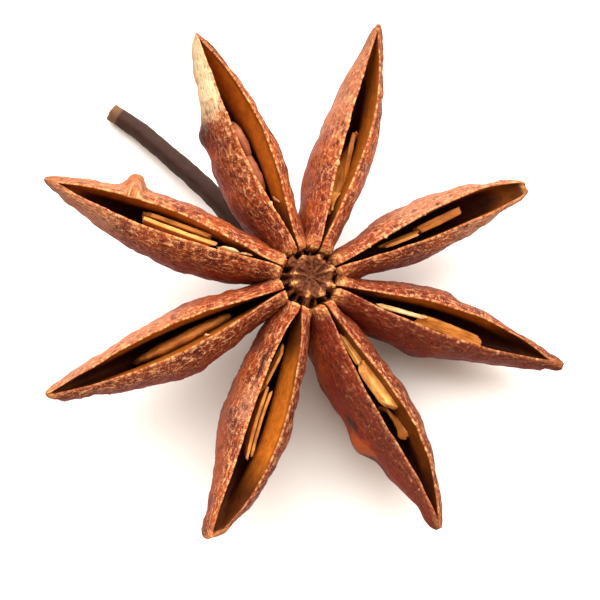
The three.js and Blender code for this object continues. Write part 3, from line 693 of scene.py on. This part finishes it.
def makeCase(case):
    dice = random.Random(f'{pod["seed"]}{case["name"]}')
    reach = case["reach"]
    shares = [r / reach for r in huskForm["rootStations"]]
    shares += list(np.linspace(huskForm["firstStation"], 0.9, huskForm["stationCount"]))
    shares += huskForm["lastStations"]
    near = [hump["at"] + hump["length"] * step for hump in case["humps"] for step in huskForm["humpStations"]]
    shares = sorted(near + [share for share in shares
                            if all(abs(share - other) > huskForm["stationGap"] for other in near)])
    rings, notes = [], []
    for s in shares:
        size = huskForm["ragged"] if s > huskForm["raggedFrom"] else 0
        ragged = {side: (dice.uniform(-size, size), dice.uniform(-size, size)) for side in (1, -1)}
        ring, ringNotes = caseSection(case, s, ragged)
        rings.append(ring)
        notes += ringNotes
    piece = growRings("case_" + case["name"], rings)
    paint(piece, "lay", notes)
    finishWith(piece, "SUBSURF", levels=huskForm["smoothing"], render_levels=huskForm["smoothing"])

    lay = readPoints(piece.data.attributes["lay"].data, "vector")
    s, side, fromEdge = lay[:, 0], np.sign(lay[:, 1]), lay[:, 2]
    level = 1 - np.abs(lay[:, 1])
    along = s * reach
    rim = ease((fromEdge + 0.1) / 0.07) * (1 - ease((fromEdge - 0.16) / 0.1))
    corky = 0.9 * bell(np.maximum(along - 1.85, 0), 0.55) * bell(level, 0.12) * ease((fromEdge + 0.1) / 0.1)
    corky *= ease((along - 1.68) / 0.1)
    skin = ease((fromEdge - 0.08) / 0.25)
    rim *= (1 - 0.45 * ease((s - 0.7) / 0.25)) * (1 - 0.5 * np.where(side > 0, *case["dusky"]))
    end = 0.8 * ease((s - 0.975) / 0.012) * (case["splitEnd"] > 1)
    paint(piece, "rim", np.maximum(0.9 * rim, np.maximum(corky, end)))
    paint(piece, "inside", 1 - ease((fromEdge + 0.1) / 0.08))
    # painted shade of the lining: deeper below the lit depth, towards the beak, beside the core and, where the lining
    # is lit deep, just under the rim; never less than the case's least shade
    ends = np.maximum(0.9 * ease((s - case["beakShadeFrom"]) / 0.22), 0.8 * ease((0.36 - s) / 0.14))
    shadeUnderRim = 0.5 * ease((fromEdge + 0.6) / 0.5) * (case["litDepth"] > 1)
    deep = np.maximum(ease((-fromEdge - case["litDepth"]) / 1.5), np.maximum(ends, shadeUnderRim))
    paint(piece, "deep", np.maximum(deep, case["leastLiningShade"]))
    # redder and darker low on the flanks and near the core: partly the skin's own tone, partly painted shade
    nearCore = 0.42 * (1 - ease((s - 0.2) / 0.35))
    paint(piece, "flankRedAndShade", np.maximum(np.where(side > 0, *case["lowFlankRedAndShade"]) * ease((level - 0.05) / 0.25), nearCore))
    roughness = np.where(side > 0, *case["wrinkled"])
    paint(piece, "dusky", np.where(side > 0, *case["dusky"]))
    # painted shade darkening the hollow towards the beak
    paint(piece, "shut", case["beakHollowShade"] * ease((s - 0.68) / 0.2))
    paint(piece, "beaded", bell(level, 0.1))
    # split is near-black painted shade in the crevices beside the core and along the listed crack
    for kind in (*huskLook["marks"], "split"):
        share = (1 - ease((along - 1.64) / 0.12)) * (kind == "split")
        for mark in case["marks"]:
            if mark["kind"] == kind:
                here = bell(s - mark["at"], mark["length"]) * bell(level - mark["level"], mark["height"])
                share = np.maximum(share, here * (side * mark["side"] > 0))
        paint(piece, kind, share)
        if kind == "corked":
            smooth = 1 - share
    paint(piece, "worn", (0.12 + 0.88 * bell(level, 0.18)) * np.minimum(roughness, 1) * smooth)

    place(piece, caseMatrix(case["azimuth"]))
    weigh(piece, "skin", skin * (1 - 0.75 * bell(level, 0.1)))
    weigh(piece, "wrinkled", skin * roughness / 1.2)
    weigh(piece, "edges", np.maximum(0.5 * rim, corky) + skin * bell(level, 0.1) * 0.3)
    finishWith(piece, "DISPLACE", texture=lumps, strength=0.42, mid_level=0.5, vertex_group="skin")
    smooth = readPoints(piece.data.vertices, "co")
    facing = readPoints(piece.data.vertices, "normal")
    finishWith(piece, "DISPLACE", texture=wrinkles, strength=0.08, mid_level=0.6, vertex_group="wrinkled")
    finishWith(piece, "DISPLACE", texture=granules, strength=0.2, mid_level=0.5, vertex_group="edges")
    lifted = np.einsum("ij,ij->i", readPoints(piece.data.vertices, "co") - smooth, facing)
    paint(piece, "relief", np.clip(lifted / 0.08, -1, 1) * skin)
    paint(piece, "lay", np.column_stack([along, lay[:, 1] * case["depth"], 0 * s]))
    return piece


dress = []   # pieces with their material, slot and the nodes they stand for
for case in cases:
    dress.append((makeCase(case), husk, "husk", ["pod"]))
print("cases made")


# Heights from the plane of the seams. The teeth are the torn tips round the core's edge: degrees, half-width in
# degrees, reach and rise.
coreForm = {
    "points": 96,
    "column": [(0.85, -7.5), (1.4, -7.1), (1.75, -6.4), (1.5, -5.0), (1.4, -3.2), (1.6, -1.7), (1.9, -1.25)],
    "groove": [(1.78, -0.48), (1.54, -0.44), (1.33, -0.52)],
    "top": [(1.27, -0.4), (1.22, -0.27), (1.12, -0.23), (0.97, -0.28), (0.8, -0.38), (0.62, -0.45), (0.42, -0.51),
            (0.22, -0.52), (0.08, -0.5)],
    "centre": (0.1, 0.12),
    "teeth": [(72, 10, 0.2, 0.02), (23, 15, 0.34, 0.02), (-23, 15, 0.32, 0.03), (-62, 20, 0.14, 0.02),
              (-103, 11, 0.24, 0.02), (-156, 15, 0.26, 0.02), (175, 6, 0.12, 0), (118, 14, 0.16, 0.03)],
    "spokes": 9, "spokeTurn": 0.3, "spokeHeight": 0.1,
    "pits": [(162.9, 1.0), (117.8, 1.0), (76.1, 1.1), (24.5, 0.9), (-16.9, 1.0), (-61.4, 1.1), (-110.2, 1.0),
             (-154.3, 1.1), (95, 0.8), (50, 0.7), (2, 0.7), (-38, 0.8), (-82, 0.6), (-130, 0.8), (184, 0.5)],
    "pitDepth": 1.5, "pitHalf": 6.5, "roughness": 0.3,
}


def towardsAngle(angle, centre, half):
    away = (angle - centre + 180) % 360 - 180
    return exp(-(away / half) ** 2)


def makeCore():
    form = coreForm
    rings, notes = [], []
    for radius, height in form["column"] + form["groove"] + form["top"]:
        onTop = (radius, height) in form["top"]
        inGroove = (radius, height) in form["groove"]
        ring = []
        for k in range(form["points"]):
            angle = 360 * k / form["points"]
            turn = radians(angle)
            # pale stays below zero on the column underneath, which takes painted shade
            r, z, pale = radius, height, -1
            if onTop:
                atEdge = float(ease((radius - 0.92) / 0.25))
                tooth = [max(0, 1 - abs((angle - at + 180) % 360 - 180) / half) for at, half, reach, rise in form["teeth"]]
                out = sum(t * row[2] for t, row in zip(tooth, form["teeth"]))
                up = sum(t * row[3] for t, row in zip(tooth, form["teeth"]))
                spoke = cos(form["spokes"] * (turn - form["spokeTurn"])) + 0.5 * cos(14 * turn + 1.1)
                r += (out + 0.03 * cos(13 * turn)) * atEdge
                z += up * atEdge + form["spokeHeight"] * spoke * exp(-((radius - 0.76) / 0.36) ** 2)
                inwards = float(ease((radius - 0.7) / 0.4))
                pale = 0.2 * atEdge + 0.5 * min(1, sum(tooth)) * inwards + 0.2 * max(0, spoke) * (1 - atEdge)
            # the groove's pits are sunk and also painted dark as painted shade
            if inGroove:
                pit = sum(deep * towardsAngle(angle, at, form["pitHalf"]) for at, deep in form["pits"])
                z -= form["pitDepth"] * pit
                pale = 0.22 - 1.5 * pit
            aside, ahead = form["centre"] if onTop else (0, 0)
            ring.append((r * cos(turn) + aside, r * sin(turn) + ahead, z))
            notes.append(pale)
        rings.append(ring)
    piece = growRings("core", rings)
    paint(piece, "ridge", notes)
    finishWith(piece, "SUBSURF", levels=2, render_levels=2)
    place(piece, starPlace)
    rough = roughTexture("coreRough", "CLOUDS", noise_scale=0.2, noise_depth=3)
    finishWith(piece, "DISPLACE", texture=rough, strength=form["roughness"], mid_level=0.5)
    return piece


stalkForm = {
    "route": [(0, 0, -5.6), (-0.45, 0.55, -7.0), (-1.7, 2.5, -7.95), (-3.55, 5.15, -8.6),
              (-5.25, 7.05, -9.5), (-6.95, 8.7, -10.43), (-8.8, 10.45, -11.4), (-10.48, 11.68, -12.24)],
    "radii": [0.85, 0.8, 0.72, 0.68, 0.67, 0.65, 0.62, 0.6],
    "steps": 3, "points": 16, "ribs": 5, "ribHeight": 0.05, "cutReach": 0.95,
}


# the route rounded through its points
def curvePoint(route, t):
    last = len(route) - 1
    i = min(int(t), last - 1)
    u = t - i
    before, start, end, after = (Vector(route[min(max(k, 0), last)]) for k in (i - 1, i, i + 1, i + 2))
    return 0.5 * ((2 * start) + (end - before) * u + (2 * before - 5 * start + 4 * end - after) * u ** 2
                  + (3 * start - before - 3 * end + after) * u ** 3)


def makeStalk():
    form = stalkForm
    route, points = form["route"], form["points"]
    spans = len(route) - 1
    count = spans * form["steps"]
    rings, notes = [], []
    for i in range(count + 1):
        t = spans * i / count
        centre = curvePoint(route, t)
        ahead = (curvePoint(route, min(t + 0.05, spans)) - curvePoint(route, max(t - 0.05, 0))).normalized()
        aside = ahead.cross(Vector((0, 0, 1))).normalized()
        above = aside.cross(ahead)
        radius = float(np.interp(t, range(spans + 1), form["radii"]))
        ring = []
        for k in range(points):
            angle = 2 * pi * k / points
            here = radius * (1 + form["ribHeight"] * cos(form["ribs"] * angle + 0.5 * t))
            ring.append(centre + here * (cos(angle) * aside + sin(angle) * above))
            notes.append((t * 2.5, angle * radius, 0))
        rings.append(ring)
    piece = growRings("stalk", rings)
    paint(piece, "lay", notes)
    finishWith(piece, "SUBSURF", levels=2, render_levels=2)
    place(piece, starPlace)
    knots = roughTexture("stalkKnots", "CLOUDS", noise_scale=0.8, noise_depth=2)
    finishWith(piece, "DISPLACE", texture=knots, strength=0.16, mid_level=0.5)
    end = np.array(starPlace @ Vector(route[-1]))
    far = np.linalg.norm(readPoints(piece.data.vertices, "co") - end, axis=1)
    paint(piece, "cut", 0.9 * (far < form["cutReach"]))
    return piece


dress.append((makeCore(), cork, "husk", ["pod"]))
dress.append((makeStalk(), bark, "husk", ["pod"]))
print("core and stalk made")


# From and to are the middles of the ends: distance from the axis, offset to the left, drop below the seams' plane.
# half is half the thickness, tall half the height, turn how far the top leans to the right at each end in degrees,
# bow how far the middle stands to the left, and slant how far the broken ends run back at the top.
contents = [
    {"name": "seed_b1", "case": "b", "from": (6.0, -0.16, 2.75), "to": (8.9, -0.2, 2.8), "half": 0.47, "tall": 1.5,
     "turn": (6, 4), "bow": 0.1, "slant": 0.2, "stuff": "dullSeedCoat"},
    {"name": "seed_b2", "case": "b", "from": (8.3, -0.2, 2.75), "to": (11.0, -0.24, 2.55), "half": 0.47, "tall": 1.5,
     "turn": (6, 2), "bow": 0.05, "slant": 0.2, "stuff": "dullSeedCoat"},
    {"name": "seed_d", "case": "d", "from": (8.0, 0.16, 2.1), "to": (11.2, 0.3, 2.0), "half": 0.27, "tall": 0.8,
     "turn": (2, 0), "bow": 0, "slant": 0.1, "stuff": "polishedSeedCoat", "shape": "splinter"},
    {"name": "seed_h", "case": "h", "from": (5.0, 0.1, 3.0), "to": (11.8, 0.4, 2.8), "half": 0.42, "tall": 1.6,
     "turn": (4, 0), "bow": 0.05, "slant": 0.3, "stuff": "polishedSeedCoat"},
    {"name": "splinter_a1", "case": "a", "from": (6.4, -0.02, 1.65), "to": (10.85, -0.05, 1.7), "half": 0.15,
     "tall": 0.85, "turn": (4, 2), "bow": 0.06, "slant": -0.3, "stuff": "splitSapwood"},
    {"name": "splinter_a2", "case": "a", "from": (6.5, -0.42, 1.65), "to": (10.9, -0.5, 1.7), "half": 0.14,
     "tall": 0.75, "turn": (0, -6), "bow": 0, "slant": 0.2, "stuff": "splitWood"},
    {"name": "splinter_a3", "case": "a", "from": (4.75, 0.04, 0.7), "to": (6.0, 0.08, 0.7), "half": 0.08,
     "tall": 0.26, "turn": (30, 20), "bow": 0, "slant": 0.2, "stuff": "paperyLining"},
    {"name": "splinter_c1", "case": "c", "from": (5.8, -0.5, 1.75), "to": (10.0, -0.8, 1.8), "half": 0.16,
     "tall": 0.42, "turn": (80, -30), "bow": 0.12, "slant": 0.15, "stuff": "polishedSeedCoat"},
    {"name": "splinter_c2", "case": "c", "from": (4.5, -0.35, 1.1), "to": (5.8, -0.5, 1.2), "half": 0.08,
     "tall": 0.22, "turn": (5, 70), "bow": 0.15, "slant": 0.1, "stuff": "splitWood"},
    {"name": "splinter_d", "case": "d", "from": (5.5, 0.05, 1.5), "to": (7.9, 0.02, 1.5), "half": 0.09,
     "tall": 0.4, "turn": (14, 20), "bow": 0, "slant": 0.15, "stuff": "splitWood"},
    {"name": "splinter_e1", "case": "e", "from": (4.95, -0.05, 1.0), "to": (7.8, 0.14, 0.9), "half": 0.07,
     "tall": 0.17, "turn": (50, 40), "bow": 0, "slant": 0.2, "stuff": "paperyLining"},
    {"name": "splinter_e2", "case": "e", "from": (7.6, 0.08, 1.4), "to": (11.8, -0.02, 1.4), "half": 0.14,
     "tall": 0.34, "turn": (-50, -56), "bow": 0.04, "slant": 0.2, "stuff": "splitWood"},
    {"name": "splinter_f1", "case": "f", "from": (4.3, 0.5, 1.1), "to": (5.95, 0.62, 1.0), "half": 0.12,
     "tall": 0.42, "turn": (60, 56), "bow": 0, "slant": -0.4, "stuff": "splitSapwood"},
    {"name": "splinter_f2", "case": "f", "from": (6.2, 0.6, 1.0), "to": (9.45, 1.08, 0.9), "half": 0.26,
     "tall": 0.46, "turn": (56, 60), "bow": 0, "slant": 0.5, "stuff": "splitSapwood"},
    {"name": "splinter_f3", "case": "f", "from": (9.3, 0.72, 1.8), "to": (11.6, 1.1, 1.6), "half": 0.11,
     "tall": 0.34, "turn": (-20, 130), "bow": 0.3, "slant": 0.1, "stuff": "polishedSeedCoat"},
    {"name": "splinter_g1", "case": "g", "from": (4.5, 0.15, 1.6), "to": (7.4, -0.12, 1.6), "half": 0.09,
     "tall": 0.4, "turn": (-8, -4), "bow": 0, "slant": 0.3, "stuff": "splitWood"},
    {"name": "splinter_g2", "case": "g", "from": (7.5, 0.12, 2.05), "to": (11.6, 0.42, 2.05), "half": 0.1,
     "tall": 0.85, "turn": (0, 0), "bow": -0.1, "slant": -0.4, "stuff": "splitWood"},
    {"name": "splinter_g3", "case": "g", "from": (7.6, 0.46, 2.3), "to": (11.4, 0.7, 2.3), "half": 0.1,
     "tall": 0.85, "turn": (0, 0), "bow": -0.1, "slant": -0.3, "stuff": "splitWood"},
]

contentForm = {
    "stations": [(0, 0.6), (0, 0.95), (0.015, 1), (0.1, 1), (0.22, 1), (0.36, 1), (0.5, 1), (0.64, 1), (0.78, 1),
                 (0.9, 1), (0.985, 1), (1, 0.95), (1, 0.6)],
    "wobble": 0.06,
    "seed": {"blunt": 0.3, "fluting": 0.04, "torn": 0, "roughness": 0.16,
             "outline": [(0.4, -0.95), (0.8, -0.7), (1, -0.3), (1, 0.3), (0.8, 0.7), (0.4, 0.95)]},
    "splinter": {"blunt": 0.03, "fluting": 0.1, "torn": 0.2, "roughness": 0.04,
                 "outline": [(0.9, -1), (1, -0.95), (1, -0.3), (1, 0.3), (1, 0.95), (0.9, 1)]},
}
paperRough = roughTexture("paperRough", "CLOUDS", noise_scale=0.45, noise_depth=2)


def makeContent(form):
    make = contentForm[form.get("shape", form["name"].split("_")[0])]
    outline = make["outline"] + [(-aside, -above) for aside, above in make["outline"]]
    points = len(outline)
    start, end = (Vector((r, left, -drop)) for r, left, drop in (form["from"], form["to"]))
    along = (end - start).normalized()
    sideways = Vector((0, 0, 1)).cross(along).normalized()
    upwards = along.cross(sideways)
    dice = random.Random(form["name"])
    flutes = [1 + dice.uniform(-1, 1) * make["fluting"] for _ in range(points)]
    torn = {end: [dice.uniform(-1, 1) * make["torn"] for _ in range(points)] for end in (0, 1)}
    rings, notes = [], []
    for t, share in contentForm["stations"]:
        full = share * sin(pi * (0.01 + 0.98 * t)) ** make["blunt"]
        thick, high = (1 + dice.uniform(-1, 1) * contentForm["wobble"] for _ in range(2))
        turn = radians(mix(*form["turn"], t))
        centre = start.lerp(end, t) + sideways * form["bow"] * sin(pi * t)
        atEnd = max(0, abs(2 * t - 1) - 0.5) * 2
        ring = []
        for k, (across, upright) in enumerate(outline):
            aside = form["half"] * full * across * thick * flutes[k]
            above = form["tall"] * full * upright * high * flutes[k]
            back = (form["slant"] * above / form["tall"] + torn[round(t)][k]) * atEnd * (1 if t < 0.5 else -1)
            ring.append(centre + along * back + sideways * (aside * cos(turn) - above * sin(turn))
                        + upwards * (aside * sin(turn) + above * cos(turn)))
            notes.append((mix(form["from"][0], form["to"][0], t), above, aside))
        rings.append(ring)
    piece = growRings(form["name"] + "_shown", rings)
    paint(piece, "lay", notes)
    finishWith(piece, "SUBSURF", levels=2, render_levels=2)
    azimuth = next(case["azimuth"] for case in cases if case["name"] == form["case"])
    place(piece, caseMatrix(azimuth))
    finishWith(piece, "DISPLACE", texture=paperRough, strength=make["roughness"], mid_level=0.5)
    return piece


for form in contents:
    slot = form["name"].split("_")[0]
    dress.append((makeContent(form), shreds[form["stuff"]], slot, [form["name"]]))
print("seeds and splinters made")


# Corky beads on the torn edges: case, side, distance from the axis and half-width.
beads = [("a", -1, 3.9, 0.11), ("a", -1, 4.6, 0.1), ("a", -1, 7.0, 0.11), ("c", 1, 7.4, 0.16), ("c", 1, 4.9, 0.11),
         ("d", 1, 4.2, 0.12), ("d", 1, 5.4, 0.13), ("d", 1, 6.1, 0.11), ("d", 1, 8.3, 0.1),
         ("d", -1, 8.6, 0.11), ("b", 1, 5.2, 0.14), ("g", -1, 10.6, 0.1), ("g", -1, 5.9, 0.12), ("e", 1, 6.4, 0.1)]
# Loose chips in the hollows: case, distance from the axis, offset to the left of the seam, height over the seams'
# plane, and half-size.
chips = [("a", 4.3, 0.05, -0.35, (0.42, 0.08, 0.07)), ("h", 7.5, 0.6, -0.5, (0.18, 0.08, 0.1)), ("b", 5.3, -0.2, -1.0, (0.3, 0.09, 0.08))]


def makeCrumbs():
    dice = random.Random(pod["seed"])
    places = []
    for name, side, r, size in beads:
        case = next(case for case in cases if case["name"] == name)
        s = r / case["reach"]
        onEdge = side * (halfGape(case, s) + 0.6 * lipAt(case, s))
        places.append((case, Vector((r, seamOffset(case, s) + onEdge, 0.02)), (size * 1.15, size, 0.85 * size)))
    for name, r, left, height, size in chips:
        case = next(case for case in cases if case["name"] == name)
        places.append((case, Vector((r, seamOffset(case, r / case["reach"]) + left, height)), size))
    bits = []
    for case, here, size in places:
        bpy.ops.object.select_all(action="DESELECT")
        bpy.ops.mesh.primitive_ico_sphere_add(subdivisions=3, radius=1)
        bit = bpy.context.object
        spin = Matrix.Rotation(radians(dice.uniform(-25, 25)), 4, "Z")
        place(bit, caseMatrix(case["azimuth"]) @ Matrix.Translation(here) @ spin @ Matrix.Diagonal((*size, 1)))
        finishWith(bit, "DISPLACE", texture=granules, strength=0.16, mid_level=0.5)
        bits.append(bit)
    bpy.ops.object.select_all(action="DESELECT")
    for bit in bits:
        bit.select_set(True)
    bpy.context.view_layer.objects.active = bits[0]
    bpy.ops.object.join()
    piece = bpy.context.object
    piece.name = "crumbs"
    paint(piece, "lay", readPoints(piece.data.vertices, "co"))
    return piece


dress.append((makeCrumbs(), shreds["crumbledCork"], "splinter", []))
print("crumbs made")


for piece, material, slot, nodes in dress:
    place(piece, Matrix.Scale(pod["metresPerUnit"], 4))
    bpy.ops.object.shade_smooth()
    piece.data.materials.clear()
    piece.data.materials.append(material)
    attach(piece, "root")
    if nodes:
        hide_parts(*nodes)
print("pieces dressed")


studio = {
    "floor": "#f6f4f2", "floorSize": 3.0,
    "worldTint": (1, 0.84, 0.65, 1), "worldStrength": 0.7,
    "lights": [
        {"name": "key", "power": 11.7, "size": 0.9, "tint": (1, 0.99, 0.98), "azimuth": 97, "height": 47, "distance": 0.5},
        {"name": "fill", "power": 1.5, "size": 0.4, "tint": (1, 0.96, 0.92), "azimuth": 8, "height": 32, "distance": 0.5},
    ],
    "cameraPlace": (-0.000414, -0.059305, 0.24073), "cameraTilt": 14, "lens": 232.26,
}


def makeStudio():
    bpy.ops.object.select_all(action="DESELECT")
    bpy.ops.mesh.primitive_plane_add(size=studio["floorSize"])
    floor = bpy.context.object
    floor.name = "floor"
    material, tree = newMaterial("mattPaper")
    shader = addNode(tree, "BsdfPrincipled", {"Base Color": colour(studio["floor"]), "Roughness": 0.9})
    addNode(tree, "OutputMaterial", {}, {"Surface": shader})
    floor.data.materials.append(material)

    world = bpy.data.worlds.new("softRoom")
    world.use_nodes = True
    world.node_tree.nodes["Background"].inputs["Color"].default_value = studio["worldTint"]
    world.node_tree.nodes["Background"].inputs["Strength"].default_value = studio["worldStrength"]
    bpy.context.scene.world = world

    for light in studio["lights"]:
        azimuth, height = radians(light["azimuth"]), radians(light["height"])
        towards = Vector((cos(azimuth) * cos(height), sin(azimuth) * cos(height), sin(height)))
        bpy.ops.object.light_add(type="AREA", location=towards * light["distance"])
        lamp = bpy.context.object
        lamp.name = light["name"]
        lamp.data.size = light["size"]
        lamp.data.energy = light["power"]
        lamp.data.color = light["tint"]
        lamp.rotation_euler = towards.to_track_quat("Z", "Y").to_euler()

    bpy.ops.object.camera_add(location=studio["cameraPlace"], rotation=(radians(studio["cameraTilt"]), 0, 0))
    camera = bpy.context.object
    camera.data.lens = studio["lens"]
    camera.data.clip_start = 0.01
    bpy.context.scene.camera = camera
    bpy.context.scene.view_settings.view_transform = "Standard"


makeStudio()
print("studio made")
